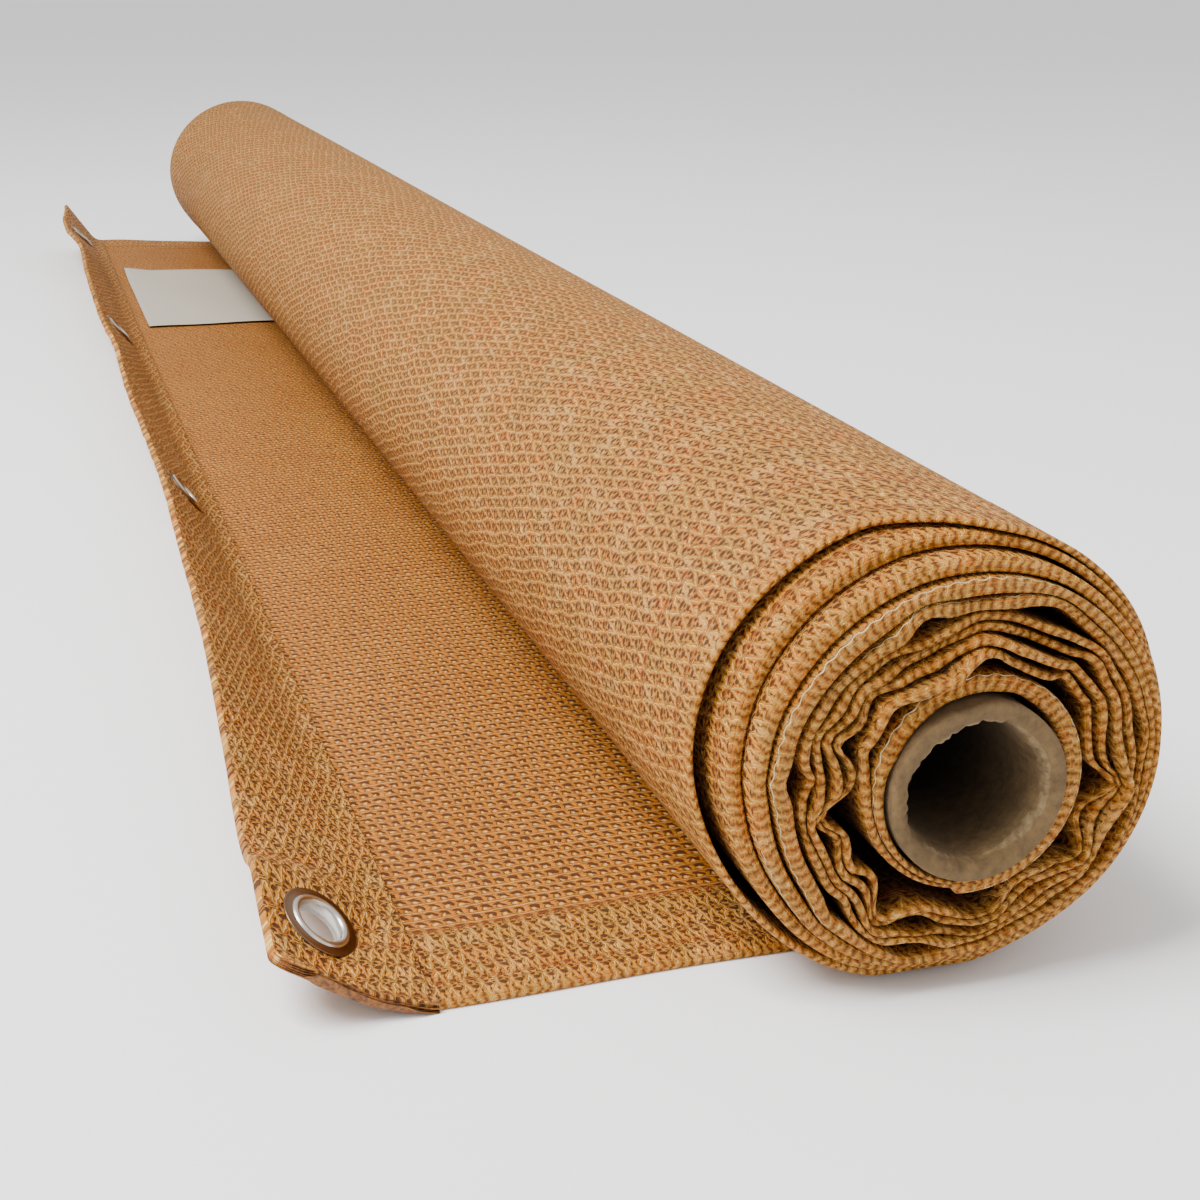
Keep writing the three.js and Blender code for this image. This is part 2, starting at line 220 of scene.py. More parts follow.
def srgb(red, green, blue):
    """A screen colour from 0 to 255 as the linear numbers that the shader takes."""
    share = np.array([red, green, blue]) / 255.0
    linear = np.where(share <= 0.04045, share / 12.92, ((share + 0.055) / 1.055) ** 2.4)
    return tuple(float(c) for c in linear)


print("mid grey of the screen is", round(srgb(128, 128, 128)[0], 3), "in the shader's numbers")

# %% Helpers for meshes
def mesh_piece(name, points, faces, finishes, slot=None, uv=None, smooth=True):
    """One object from arrays: points in mm round the roll's axis, faces as rows of corner numbers,
    uv as one pair in metres per corner of the first faces; the others get none."""
    mesh = bpy.data.meshes.new(name)
    world = (np.asarray(points, float) + AXIS) * MM
    faces = [list(map(int, face)) for face in faces]
    mesh.from_pydata(world, [], faces)
    if uv is not None:
        flat = np.zeros((sum(map(len, faces)), 2), np.float32)
        flat[:np.size(uv) // 2] = np.reshape(uv, (-1, 2))
        layer = mesh.uv_layers.new(name="cloth")
        layer.data.foreach_set("uv", flat.ravel())
    if smooth:
        mesh.polygons.foreach_set("use_smooth", np.ones(len(mesh.polygons), bool))
    for finish in finishes:
        mesh.materials.append(finish.material)
    mesh.update()
    piece = bpy.data.objects.new(name, mesh)
    bpy.context.scene.collection.objects.link(piece)
    if slot:
        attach(piece, "root")
    return piece


def grid_faces(columns, rows, close_rows=False, close_columns=False):
    """Corner numbers of the four-sided faces of a grid stored column by column."""
    i = np.arange(columns if close_columns else columns - 1)
    j = np.arange(rows if close_rows else rows - 1)
    i, j = [a.ravel() for a in np.meshgrid(i, j, indexing="ij")]
    i2, j2 = (i + 1) % columns, (j + 1) % rows
    return np.stack([i * rows + j, i2 * rows + j, i2 * rows + j2, i * rows + j2], 1)


def along(table, at):
    """Smooth curve through a table's rows of place and value: cubic pieces whose slope at a row is
    the harmonic mean of the slopes beside it, and level where these differ in sign."""
    x, y = np.array(table, float).T
    step = np.diff(x)
    slope = np.diff(y) / step
    before, after = slope[:-1], slope[1:]
    product = before * after
    total = np.where(product > 0, before + after, 1.0)
    inner = np.where(product > 0, 2 * product / total, 0.0)
    tangent = np.concatenate([[0.0], inner, [0.0]])
    at = np.clip(np.asarray(at, float), x[0], x[-1])
    k = np.clip(np.searchsorted(x, at, side="right") - 1, 0, len(step) - 1)
    t = (at - x[k]) / step[k]
    return (y[k] * (2 * t**3 - 3 * t**2 + 1) + tangent[k] * step[k] * (t**3 - 2 * t**2 + t)
            + y[k + 1] * (3 * t**2 - 2 * t**3) + tangent[k + 1] * step[k] * (t**3 - t**2))


def ease(low, high, value):
    """0 below low, 1 above high, and a smooth S between: 3 t squared - 2 t cubed."""
    t = np.clip((np.asarray(value, float) - low) / (high - low), 0, 1)
    return t * t * (3 - 2 * t)


print("a grid of 3 by 2 points has", len(grid_faces(3, 2)), "faces")

# %% [markdown]
# Floor and light
# A pale floor that runs far back, a big soft light above and to the left, a weaker one in front,
# and a bright even sky, as in a light tent. Only soft shadows are left.

# %% Floor, sky and lights
floor_finish = Finish("pale_floor", roughness=0.9)
floor_finish.shader.inputs["Base Color"].default_value = (0.95, 0.95, 0.95, 1)
FLOOR_HALF = 9000.0
floor_points = np.array([[-1, -1, 0], [1, -1, 0], [1, 1, 0], [-1, 1, 0]]) * FLOOR_HALF - AXIS
floor_piece = mesh_piece("studio_floor", floor_points, [[0, 1, 2, 3]], [floor_finish], smooth=False)

world = bpy.data.worlds.new("studio_sky")
bpy.context.scene.world = world
world.use_nodes = True
world.node_tree.nodes["Background"].inputs["Color"].default_value = (1, 1, 1, 1)
world.node_tree.nodes["Background"].inputs["Strength"].default_value = 1.0


def soft_light(name, place, aim, size, power):
    """A square lamp at place that shines towards aim, both in metres."""
    data = bpy.data.lights.new(name, "AREA")
    data.size = size
    data.energy = power
    lamp = bpy.data.objects.new(name, data)
    bpy.context.scene.collection.objects.link(lamp)
    lamp.location = place
    back = np.array(place) - np.array(aim)
    level = math.hypot(back[0], back[1])
    lamp.rotation_euler = (math.atan2(level, back[2]), 0, math.atan2(back[0], -back[1]))
    return lamp


soft_light("key_light", (-1.15, -0.75, 2.0), (0.0, -0.2, 0.05), 1.3, 108)
soft_light("front_light", (0.9, -2.4, 1.0), (0.05, -0.7, 0.06), 1.2, 3)
print("floor, sky and two lights")

# %% [markdown]
# The knit
# The real cloth is knitted from flat tan tapes and thin cream threads. On its outer side the
# threads run in a zigzag from chain to chain; on its inner side only rows of small loops show.
# Both could be modelled thread by thread, but the cloth has over half a million stitches, so the
# pattern is worked out in the shader from the cloth's own flat measure, which each piece carries
# as its UV map in metres. It gives the colour and a height for bump.

# %% Measures and colours of the knit
# mm: pitch of the stitches and of the chains, the hem, its inner seam, and the net's width
STITCH = 4.4
CHAIN = 10.403
CHAIN_SHARE = 0.2
HEM = 44.0
HEM_SEWN = 12.5
FLAT_WIDTH = 1524.0
# mm: half widths of the threads, tapes, holes and knots
THREAD = 0.28
TAPE = 0.95
BACK_TAPE = 0.85
HOLE_RADIUS = 0.95
KNOT = 1.5
# mm: pitch and reach of the rungs over a folded edge, and the line of white stitches beside it
RUNG_PITCH = 3.1
RUNG_REACH = 3.4
WHITE_LINE = 3.1
WHITE_PITCH = 5.2
# mm along the net where the third turn, the crumpled turns and the core's wrap begin
THIRD_TURN_FROM = 1263.0
CRUMPLED_FROM = 1879.0
WRAP_FROM = 2953.0
# metres of relief between the bottom of a hole and the top of a thread
RELIEF = 0.0016
TAN = srgb(182, 121, 32)
OCHRE = srgb(188, 105, 8)
CREAM = srgb(234, 190, 106)
# dark brown of the painted shade in holes, gaps and the inner turns
PAINTED_SHADE_BROWN = srgb(52, 20, 4)
OLIVE = srgb(160, 112, 34)
INNER_TAN = srgb(182, 104, 14)
INNER_OCHRE = srgb(190, 116, 20)
STITCH_WHITE = srgb(236, 210, 156)
FIBRE_DARK = srgb(128, 72, 16)
SEWING = srgb(176, 84, 10)
print("chains across the net", round(FLAT_WIDTH / CHAIN))

# %% Relief of the knit's two sides
def outer_knit(within, count):
    """Relief of the outer side, from the share of the way across a row and the stitches counted
    along it: a thread and two tapes in a zigzag, a chain between rows, and small round holes."""
    tooth = abs(count.fract() - 0.5) * 2.0
    lean = STITCH * 0.48
    climb = (within - CHAIN_SHARE) / (1.0 - CHAIN_SHARE)
    to_thread = abs(climb - tooth) * lean
    thread = to_thread.round_ridge(THREAD) * within.above(CHAIN_SHARE - 0.04)
    tape = to_thread.round_ridge(TAPE) * 0.5
    back_tape = (abs(climb + tooth - 1.0) * lean).round_ridge(BACK_TAPE) * 0.55
    from_chain = abs(within - CHAIN_SHARE * 0.5) * CHAIN
    wave = (count * (2.0 * math.pi)).sin()
    chain = abs(from_chain - 0.7 + wave * 0.3).round_ridge(0.36) * (0.72 + wave * 0.2)
    side_1 = ((count + 0.5).fract() - 0.5) * STITCH
    side_2 = (count.fract() - 0.5) * STITCH
    down_1, down_2 = (within - 0.32) * CHAIN, (within - 0.84) * CHAIN
    to_hole_1 = (side_1 * side_1 + down_1 * down_1 * 0.7).sqrt()
    to_hole_2 = (side_2 * side_2 + down_2 * down_2 * 0.7).sqrt()
    hole = to_hole_1.min(to_hole_2).round_ridge(HOLE_RADIUS)
    relief = (thread.max(tape).max(back_tape).max(chain * 0.85) - hole * 0.7).max(0.0)
    return relief, thread, chain


def inner_knit(across, count, jitter, slack):
    """Relief of the inner side, across in half rows: staggered small knots, each under a dark
    crescent, with a fine thread between their rows. Slack cloth shows deeper crescents."""
    half_row = CHAIN * 0.5
    row = (across.fract() - 0.5) * half_row
    side = ((count + across.floor() * 0.5).fract() - 0.5) * STITCH
    knot_reach = (side * side * 1.6 + (row + 0.9) * (row + 0.9)).sqrt()
    knot = knot_reach.round_ridge(KNOT)
    crescent = abs(knot_reach - 1.85).round_ridge(0.9) * (row + side * 0.6 + 0.1).above(0.0)
    crescent = crescent * (0.4 + slack * 0.6)
    line = abs(abs(row) - half_row * 0.5).round_ridge(0.35) * 0.6
    under_line = abs(abs(row) - half_row * 0.5 + 0.62).round_ridge(0.3) * 0.2
    relief = (knot.max(line).max(0.44 + jitter * 0.5) - under_line - crescent * 0.98).max(0.0)
    return relief, knot, line


def fold_rungs(u, edge, drift, jitter):
    """The folded edge is sewn over with rungs: its share, the place on a rung, its relief."""
    share = edge.below(RUNG_REACH) * (1.0 - edge * 0.1)
    place = (u + edge * 0.22 + jitter * 3.0 + drift * 4.0) / RUNG_PITCH
    rung = abs(place.fract() - 0.5) * RUNG_PITCH
    base = 0.5 + abs(edge - 1.3).round_ridge(0.4) * 0.2 - (rung - 0.7).max(0.0) * 0.5
    return share, rung, rung.round_ridge(THREAD).max(base)


print("rungs in the hem's length", round(FLAT_WIDTH / RUNG_PITCH))

# %% Knit finish
def knit_finish(name):
    """Cloth finish on a UV map in metres: u along the net, v round its flat section, so that v
    from 0 to the width is the outer side and the next width is the inner side."""
    finish = Finish(name, roughness=0.72, Specular_IOR_Level=0.3)
    u, v, _ = finish.split(finish.coordinates("UV"))
    u, v = u * 1000.0, v * 1000.0
    flat = finish.join(u, v)
    drift = finish.noise(flat, 0.05, 1.0) - 0.5
    jitter = finish.noise(flat, 0.35, 1.0) - 0.5
    edge = v.min(abs(v - 2.0 * FLAT_WIDTH))
    across = (v + 0.4 + drift * 2.6 + jitter * 1.5) / CHAIN
    wale = across.floor()
    count = (u + jitter * 2.2) / STITCH + wale * 0.37 + drift * 1.2
    outer, thread, chain = outer_knit(across.fract(), count)
    inner_across = (2.0 * FLAT_WIDTH - v + drift * 2.4 + jitter * 1.2) / (CHAIN * 0.5)
    slack = (finish.noise(flat, 0.018, 2.0) * 2.2 - 0.55).clamp()
    inner, knot, line = inner_knit(inner_across, count, jitter, slack)
    inner_side = v.above(FLAT_WIDTH + HEM) * v.below(2 * FLAT_WIDTH - HEM)
    height = outer + (inner - outer) * inner_side
    fold, rung, fold_height = fold_rungs(u, edge, drift, jitter)
    height = height + (fold_height - height) * fold

    # each cell's tape has its own tone, and the threads are cream
    cell = finish.chance(wale, (count + 0.25).floor())
    patch = finish.noise(flat, 0.03, 3.0)
    tape_colour = finish.blend((patch * 1.6 - 0.3 + (cell - 0.5) * 0.8).clamp(), TAN, OCHRE)
    other = finish.chance(wale + 7.0, (count * 0.5).floor())
    tape_colour = finish.blend(other.above(0.72) * 0.4, tape_colour, OLIVE)
    tape_colour = finish.blend(cell.above(0.84) * 0.25, tape_colour, CREAM)
    cream_share = (thread * 1.5 - 0.5).max(chain * 0.8 - 0.4).clamp() * (0.42 + patch * 0.75)
    outer_colour = finish.blend(cream_share * (1.0 - fold), tape_colour, CREAM)
    outer_colour = finish.blend(fold * rung.round_ridge(0.34) * 0.8, outer_colour, CREAM)
    inner_colour = finish.blend((patch * 1.4 - 0.2).clamp(), INNER_TAN, INNER_OCHRE)
    inner_cream = ((knot * 1.9 - 0.9).clamp() * 0.5).max(line * (1.3 - slack))
    inner_colour = finish.blend(inner_cream, inner_colour, CREAM)
    colour = finish.blend(inner_side, outer_colour, inner_colour)
    fibre = finish.noise(flat, 2.2, 2.0)
    colour = finish.blend((fibre * 1.8 - 0.75).clamp() * 0.62, colour, FIBRE_DARK)
    # painted shade: the lower the knit's relief, the darker its colour, in holes, gaps and
    # crescents
    depth = (1.0 - height * 1.95).clamp()
    colour = finish.blend(depth * 0.92, colour, PAINTED_SHADE_BROWN)

    # painted shade: the inner turns are darker, most of all away from their edges, and every turn
    # from the third on a little
    painted_inner_shade = ((edge - 3.0) / 10.0).clamp() * u.above(CRUMPLED_FROM) * edge.below(400.0)
    colour = finish.blend(painted_inner_shade * 0.8, colour, PAINTED_SHADE_BROWN)
    colour = finish.blend(u.above(THIRD_TURN_FROM) * 0.14, colour, PAINTED_SHADE_BROWN)

    # white stitches just inside the fold, on the middle turns and on the core's wrap
    wave = (u * (2.0 * math.pi / WHITE_PITCH)).sin() * 0.45
    white = abs(edge - WHITE_LINE + wave + jitter).round_ridge(0.36) * v.below(FLAT_WIDTH)
    white = white * u.above(THIRD_TURN_FROM) * (u.below(CRUMPLED_FROM).max(u.above(WRAP_FROM)))
    height = height.max(white)
    colour = finish.blend(white * 0.9, colour, STITCH_WHITE)

    # sewing lines of the hems, a warm brown double line
    outer_seam = abs(abs(edge - HEM_SEWN) - 0.6).round_ridge(0.4)
    sewn = outer_seam.max(abs(abs(edge - HEM) - 0.7).round_ridge(0.4))
    finish.paint(finish.blend(sewn * 0.5, colour, SEWING))
    finish.bump(height - sewn * 0.4, RELIEF, 1.0)
    return finish


netting = knit_finish("netting_knit")
print("knit finish with", len(netting.tree.nodes), "nodes")

# %% [markdown]
# The wound net
# The net is one sheet: it starts at the loose end's seam, runs under the roll and winds inwards
# ten times round the core. A plain cylinder would show none of its turns, so the sheet is a closed
# thin shell on a grid: columns follow the net's length, and a row runs over its outer side, round
# the far hem's fold, back over its inner side and round the near hem's fold.

# %% How the turns lie
HEIGHT = 68.0
OUTER = 69.5
OUTER_DROP = 2.0
CORE = np.array([5.2, -5.0])
CORE_RADIUS = 26.2
TURNS = 10
PER_TURN = 120
SPLIT_TURN = 4.6
HALF_HEM = 1.35
HALF_PLY = 0.9

# degrees round the roll's axis and mm from it: where the tight outer turns end, and the inner side
# of the crumpled turns, a row for each side of each fold
SPLIT = [(-90, 54), (-60, 54.5), (-40, 57.2), (-5, 57.8), (20, 56.3), (45, 52.5), (70, 48.5),
         (90, 45.5), (110, 43.5), (135, 44), (165, 46), (185, 45.2), (210, 46.3), (230, 50),
         (250, 54), (270, 54)]
CRUMPLE = [(-90, 41.5), (-84, 44), (-78, 46), (-73, 46), (-67, 43), (-62, 40.9), (-57, 40.7),
           (-50, 42), (-45, 43.6), (-41, 47.3), (-37, 50.2), (-34, 48.5), (-30, 45), (-26, 42.6),
           (-23, 42.5), (-19, 45), (-15, 48.6), (-12, 50), (-9, 47.5), (-5, 42), (0, 40),
           (8, 39.2), (12, 39.8), (20, 41.3), (26, 39.7), (33, 39.3), (38, 38.9), (42, 35.6),
           (48, 33.7), (57, 32.6), (66, 32.6), (74, 33.7), (82, 34), (90, 31.4), (96, 29),
           (104, 27.9), (112, 27.8), (122, 28.8), (130, 31), (137, 33.2), (142, 32.8),
           (148, 31.4), (153, 32), (157, 34.2), (161, 36.2), (165, 34.2), (169, 30.9), (175, 29),
           (180, 28.9), (186, 29.9), (189, 32.4), (192, 36.8), (195, 38.3), (199, 37.4),
           (203, 35), (207, 34.5), (212, 35.3), (217, 37.2), (222, 37.6), (227, 36.2),
           (232, 35.6), (236, 37.5), (240, 43), (244, 45.6), (248, 44.6), (252, 41.8),
           (257, 40.4), (263, 40.2), (270, 41.5)]
# mm: the wrap's distance from the core, its step for each turn, and how far its middle rises
WRAP_GAP = 1.75
WRAP_STEP = 3.1
WRAP_RISE = 1.9
ON_CORE_TURN = 8.7


def wrap_radius(degrees, turn):
    """Distance from the roll's axis to the turns that lie tight on the core, which stands a little
    off the axis: c cos(phi) + root of (rho squared - (c sin(phi)) squared)."""
    rho = CORE_RADIUS + WRAP_GAP + WRAP_STEP * (TURNS - turn)
    rise = CORE[1] + WRAP_RISE * np.clip((TURNS - turn) / 1.2, 0, 1)
    phi = np.radians(degrees) - np.arctan2(rise, CORE[0])
    reach = np.hypot(CORE[0], rise)
    return reach * np.cos(phi) + np.sqrt(rho**2 - (reach * np.sin(phi)) ** 2)


def hollows(degrees, places):
    """Sum of bell curves round the roll, each with its middle, half width and height."""
    total = np.zeros_like(degrees)
    for middle, width, height in places:
        total += height * np.exp(-(((degrees - middle) / width) ** 2))
    return total


def between_turns(turn, start, end, inner):
    """Radius of a tight group: it falls 2 mm over the first turn, then evenly to inner at end."""
    first = start - OUTER_DROP * np.minimum(turn, 1)
    return first - np.maximum(turn - 1, 0) / (end - 1) * (start - OUTER_DROP - inner)


# middle in degrees, half width and height in mm of the dark hollows between the layers
HOLLOWS_AT_SPLIT = [(260, 8, 4.6), (228, 5, 3.2), (178, 5, 4.4), (104, 9, 4.6), (58, 11, 3.4),
                    (5, 5, 1.8), (-24, 16, 1.8), (-53, 4, 1.6)]
HOLLOWS_INSIDE = [(259, 7, 4.0), (206, 7, 2.6), (-82, 8, 2.2), (34, 5, 2.0)]
HOLLOW_TURN = 6.6


def end_radius(turn, degrees):
    """Distance of a turn's middle from the roll's axis at the roll's ends, where the cloth is
    crumpled: even steps from the outside to the split, then to the inner side of the folds, and
    last the turns that lie tight on the core. Bell curves open the dark hollows between layers."""
    split = along(SPLIT, degrees)
    folds = along(CRUMPLE, degrees) + HALF_HEM
    innermost = 8 + (degrees + 90) / 360 - ease(108, 150, degrees)
    tight_group = between_turns(turn, OUTER - HALF_HEM, SPLIT_TURN, split)
    share = np.clip((turn - SPLIT_TURN) / (innermost - SPLIT_TURN), 0, 1)
    radius = np.where(turn > SPLIT_TURN, split + (folds - split) * share, tight_group)
    for place, table in ((SPLIT_TURN, HOLLOWS_AT_SPLIT), (HOLLOW_TURN, HOLLOWS_INSIDE)):
        opened = hollows(degrees, table) * np.exp(-np.abs(turn - place) / 0.9)
        radius += 0.8 * np.sign(place - turn) * opened
    upper_left = ease(60, 110, degrees) * (1 - ease(215, 245, degrees))
    radius -= 0.7 * upper_left * ease(1.2, 1.45, turn) * (turn < 2)
    radius += (turn < 1) * hollows(degrees, [(172, 42, 2.6)])
    on_core = ease(8.5, 8.8, turn)
    return radius + (wrap_radius(degrees, turn) - radius) * on_core


def middle_radius(turn, degrees):
    """The same away from the ends, where the turns lie evenly from the outside to the core."""
    innermost = wrap_radius(degrees, ON_CORE_TURN)
    even = between_turns(turn, OUTER - 0.5 - HALF_PLY, ON_CORE_TURN, innermost)
    return np.where(turn > ON_CORE_TURN, wrap_radius(degrees, turn), even)


turn = np.arange(TURNS * PER_TURN + 1) / PER_TURN
degrees = -90 + 360 * (turn - np.floor(np.minimum(turn, TURNS - 1e-6)))
at_end, at_middle = end_radius(turn, degrees), middle_radius(turn, degrees)
print("turns", TURNS, "columns", len(turn), "innermost radius", at_end.min().round(1))

# %% Where the near and far edges of each turn lie
# degrees round the roll and the near edge's place along it in mm, for the first four turns
EDGES = [
    [(-90, 12), (-40, 3), (0, -9), (45, -15), (75, -15), (92, -6), (108, 2), (140, 2), (175, 0),
     (198, -6), (215, -12), (240, -13), (270, -12)],
    [(-90, -12), (-60, -13), (-30, -16), (0, -18), (45, -17), (75, -14), (105, -10.5), (140, -11),
     (180, -14), (215, -16), (240, -16), (270, -15)],
    [(-90, -15), (-60, -17), (-30, -20), (0, -21.5), (60, -20), (105, -19.5), (150, -20),
     (210, -20.5), (240, -20), (270, -19)],
    [(-90, -19), (-45, -20.5), (0, -22), (240, -22.5), (270, -22)],
]
INNER_EDGE = -22.0
# turns at which a fold of the crumpled cloth stands out towards the front, how far, and its width
FOLDS_OUT = [(8.55, 8.0, 0.12), (7.42, 5.5, 0.09), (6.2, 3.0, 0.1)]


def near_edge(turn, degrees):
    """Place of the near hem's fold along the roll. The outermost turn stands back from the others,
    and the crumpled turns stand a little in and out, by a sum of three sines."""
    level = np.floor(np.minimum(turn, TURNS - 1e-6))
    around = np.radians(degrees)
    waves = 0.9 * np.sin(around * 7 + turn * 2.1)
    waves += 0.7 * np.sin(around * 3 - turn * 4.3)
    waves += 0.4 * np.sin(around * 19 + turn)
    edge = INNER_EDGE + waves * ease(2.5, 5, turn)
    for place, reach, width in FOLDS_OUT:
        edge -= reach * np.exp(-(((turn - place) / width) ** 2))
    for number, table in enumerate(EDGES):
        edge = np.where(level == number, along(table, degrees), edge)
    return np.where(turn > 8.75, INNER_EDGE - 1.5 - 1.2 * (turn - 8.75), edge)


near = near_edge(turn, degrees)
far = np.where(turn < 1, FLAT_WIDTH, near + FLAT_WIDTH)
print("near edge from", near.min().round(1), "to", near.max().round(1))

# %% Rows and thickness of the wound net
NOSE = np.array([0, 0.15, 0.6, 1.6, 4.5, 8, 14, 24, 34, 41, 46, 60, 90, 125, 165])
FAR_NOSE = np.array([165, 90, 46, 41, 24, 8, 1.6, 0.4, 0])
MIDDLE = np.linspace(0, 1, 14)[1:-1]
FOLD_ROUND = 1.6
FOLD_POWER = 2.6


def half_thickness(radius):
    """Half the cloth's thickness where the neighbouring turns leave room for it."""
    room = np.full(len(radius), 9.0)
    step = np.abs(radius[:-PER_TURN] - radius[PER_TURN:])
    room[:-PER_TURN] = step
    room[PER_TURN:] = np.minimum(room[PER_TURN:], step)
    return np.clip(0.455 * room, 0.45, 9 - 8 * ease(1, 0.9, turn))


def rows_along(near, far):
    """Places along the roll of one side's rows, from the near fold to the far one."""
    near, far = near[:, None], far[:, None]
    inner_near, inner_far = near + NOSE[-1], far - NOSE[-1]
    between = inner_near + (inner_far - inner_near) * MIDDLE
    return np.concatenate([near + NOSE, between, far - FAR_NOSE], 1)


def end_share(offset):
    """1 at the roll's end, falling to 0 where the crumples have died out."""
    return 1 - ease(8, 160, offset)


def fold_round(offset):
    """Thickness share near a fold: a blunt quarter of a squared circle over its first rows."""
    return (1 - (1 - np.clip(offset / FOLD_ROUND, 0, 1)) ** FOLD_POWER) ** (1 / FOLD_POWER)


y_roll = rows_along(near, far)
offset_near, offset_far = y_roll - near[:, None], far[:, None] - y_roll
from_edge = np.minimum(offset_near, offset_far)
hem_share = 1 - ease(40, 46, from_edge)
fold_share = 1 - ease(16, 44, from_edge)
crumpled = np.maximum(end_share(offset_near), end_share(offset_far))
wide_turn, angle = turn[:, None], np.radians(degrees[:, None])
print("rows on one side of the net", y_roll.shape[1])

# %% Points of the wound net
# half thickness of the folded hem on the tight turns, the core's wrap and the crumpled turns
HALF_TIGHT = 3.1
HALF_WRAP = 2.8
HALF_CRUMPLED = 1.15
radius = at_middle[:, None] + (at_end - at_middle)[:, None] * crumpled
swell = np.sin(math.pi * 3 * y_roll / FLAT_WIDTH + 0.5) * np.sin(2 * angle + 0.7)
radius = radius + (0.8 * swell - 0.1) * (1 - hem_share) * np.exp(-wide_turn)
room = half_thickness(at_end)[:, None]
folded = np.where(wide_turn < SPLIT_TURN, HALF_TIGHT * ease(0.8, 1.2, wide_turn),
                  1.9 + (HALF_WRAP - 1.9) * ease(8.7, 8.9, wide_turn))
folded = HALF_HEM + np.maximum(folded - HALF_HEM, 0) * fold_share
thinner = ease(4.4, 4.9, wide_turn) * (1 - ease(8.6, 8.9, wide_turn))
folded = folded + (HALF_CRUMPLED - folded) * thinner * fold_share
wanted = HALF_PLY + (folded - HALF_PLY) * hem_share
half = np.minimum(wanted, room * crumpled + 2 * (1 - crumpled)) * fold_round(from_edge) + 0.02


def roll_points(side):
    """Points of the outer (+1) or inner (-1) side of the wound net, kept above what lies below."""
    reach = radius + side * half
    x, z = reach * np.cos(angle), HEIGHT + reach * np.sin(angle)
    lowest = half * (1 - side) + 2 * HALF_HEM * np.round(np.minimum(wide_turn, 4))
    return np.stack([x, y_roll, np.maximum(z, lowest)], 2)


print("wound net, half thickness up to", half.max().round(2), "mm")

# %% Points of the loose end
SEAM_X = -140.5
STRIP_NEAR = 8.5
LIFT_FROM_X = -28.0
FLAP_COLUMNS = 30
# place along the seam and how far the net stands off the floor there, mm
SEAM_LIFT = [(0, 0), (989, 0), (1140, 1), (1270, 2), (1406, 5), (1450, 5), (1524, 6)]


def flap_lift(x, y):
    """How far the loose end stands off the floor: the seam's lift, which dies out towards the roll,
    and the same low waves as on its solid."""
    at_seam = along(SEAM_LIFT, y) * ease(0, 1, (LIFT_FROM_X - x) / (LIFT_FROM_X - SEAM_X))
    wave = 0.9 * np.sin(y / 71 + x / 37) ** 2
    return at_seam + wave * ease(60, 200, y) * ease(20, 70, -x) * ease(0, 30, x - SEAM_X)


flap_x = np.linspace(SEAM_X, 0, FLAP_COLUMNS + 1)[:-1]
flap_near = STRIP_NEAR + 4 * ease(0, 1, (flap_x - SEAM_X) / (-50 - SEAM_X))
y_flap = rows_along(flap_near, np.full(FLAP_COLUMNS, FLAT_WIDTH))
flap_near_offset = y_flap - flap_near[:, None]
flap_far_offset = FLAT_WIDTH - y_flap
flap_from_edge = np.minimum(flap_near_offset, flap_far_offset)
flap_full = HALF_PLY + (HALF_HEM - HALF_PLY) * (1 - ease(40, 46, flap_from_edge))
flap_half = flap_full * fold_round(flap_from_edge) + 0.02
wide_x = flap_x[:, None] + 0 * y_flap
flap_middle = np.maximum(flap_full, flap_half)


def flap_points(side):
    """Points of the side that faces the floor (+1) or up (-1), half a thickness off its middle."""
    return np.stack([wide_x, y_flap, flap_middle + flap_lift(wide_x, y_flap) - side * flap_half], 2)


print("loose end", FLAP_COLUMNS, "columns, from x", SEAM_X)

# %% One closed sheet
def flat_place(offset_near, offset_far, half):
    """Distance from the near edge as measured on the cloth, so round its fold too."""
    round_near = half * (1 - ease(46, 90, offset_near))
    return offset_near + round_near - half * (1 - ease(46, 90, offset_far))


outer_side = np.concatenate([flap_points(1), roll_points(1)])
inner_side = np.concatenate([flap_points(-1), roll_points(-1)])
points = np.concatenate([outer_side, inner_side[:, ::-1]], 1)
columns, rows = points.shape[:2]
around = np.radians(degrees)
roll_line = np.stack([at_middle * np.cos(around), HEIGHT + at_middle * np.sin(around)], 1)
middle_line = np.concatenate([np.stack([flap_x, flap_middle[:, 12]], 1), roll_line])
step_length = np.linalg.norm(np.diff(middle_line, axis=0), axis=1)
net_u = np.concatenate([[0], np.cumsum(step_length)])
row_v = np.concatenate([flat_place(flap_near_offset, flap_far_offset, flap_half),
                        flat_place(offset_near, offset_far, half)])
row_v = np.concatenate([row_v, 2 * FLAT_WIDTH - row_v[:, ::-1]], 1)
faces = grid_faces(columns, rows, close_rows=True)
side_v = np.concatenate([row_v, np.full((columns, 1), 2 * FLAT_WIDTH)], 1)
i, j = faces[:, 0] // rows, faces[:, 0] % rows
corners = ((i, j), (i + 1, j), (i + 1, j + 1), (i, j + 1))
uv = np.stack([np.stack([net_u[a], side_v[a, b]], 1) for a, b in corners], 1)
end_caps = [list(range(rows))[::-1], [(columns - 1) * rows + k for k in range(rows)]]
net = mesh_piece("net", points.reshape(-1, 3), [*faces, *end_caps], [netting], "netting", uv * MM)
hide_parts("wound_roll", "loose_flap")

# %% [markdown]
# The hem strip
# The loose end is finished by a folded, sewn strip that is stiffer than the net and stands up off
# the floor at a slant. It carries four eyelets, so it has four round openings. It is laid out flat
# as quads, with a fan of quads round each opening, then bent and given its thickness.

# %% Shape of the strip
STRIP_WIDTH = 46.0
STRIP_BEND = 0.28
STRIP_THICKNESS = 3.4
STRIP_CORNER = 11.0
EYELET_INSET = 15.5
EYELET_PITCH = 461
EYELET_Y = [45 + EYELET_PITCH * i for i in range(4)]
STRIP_X = SEAM_X + 1.5
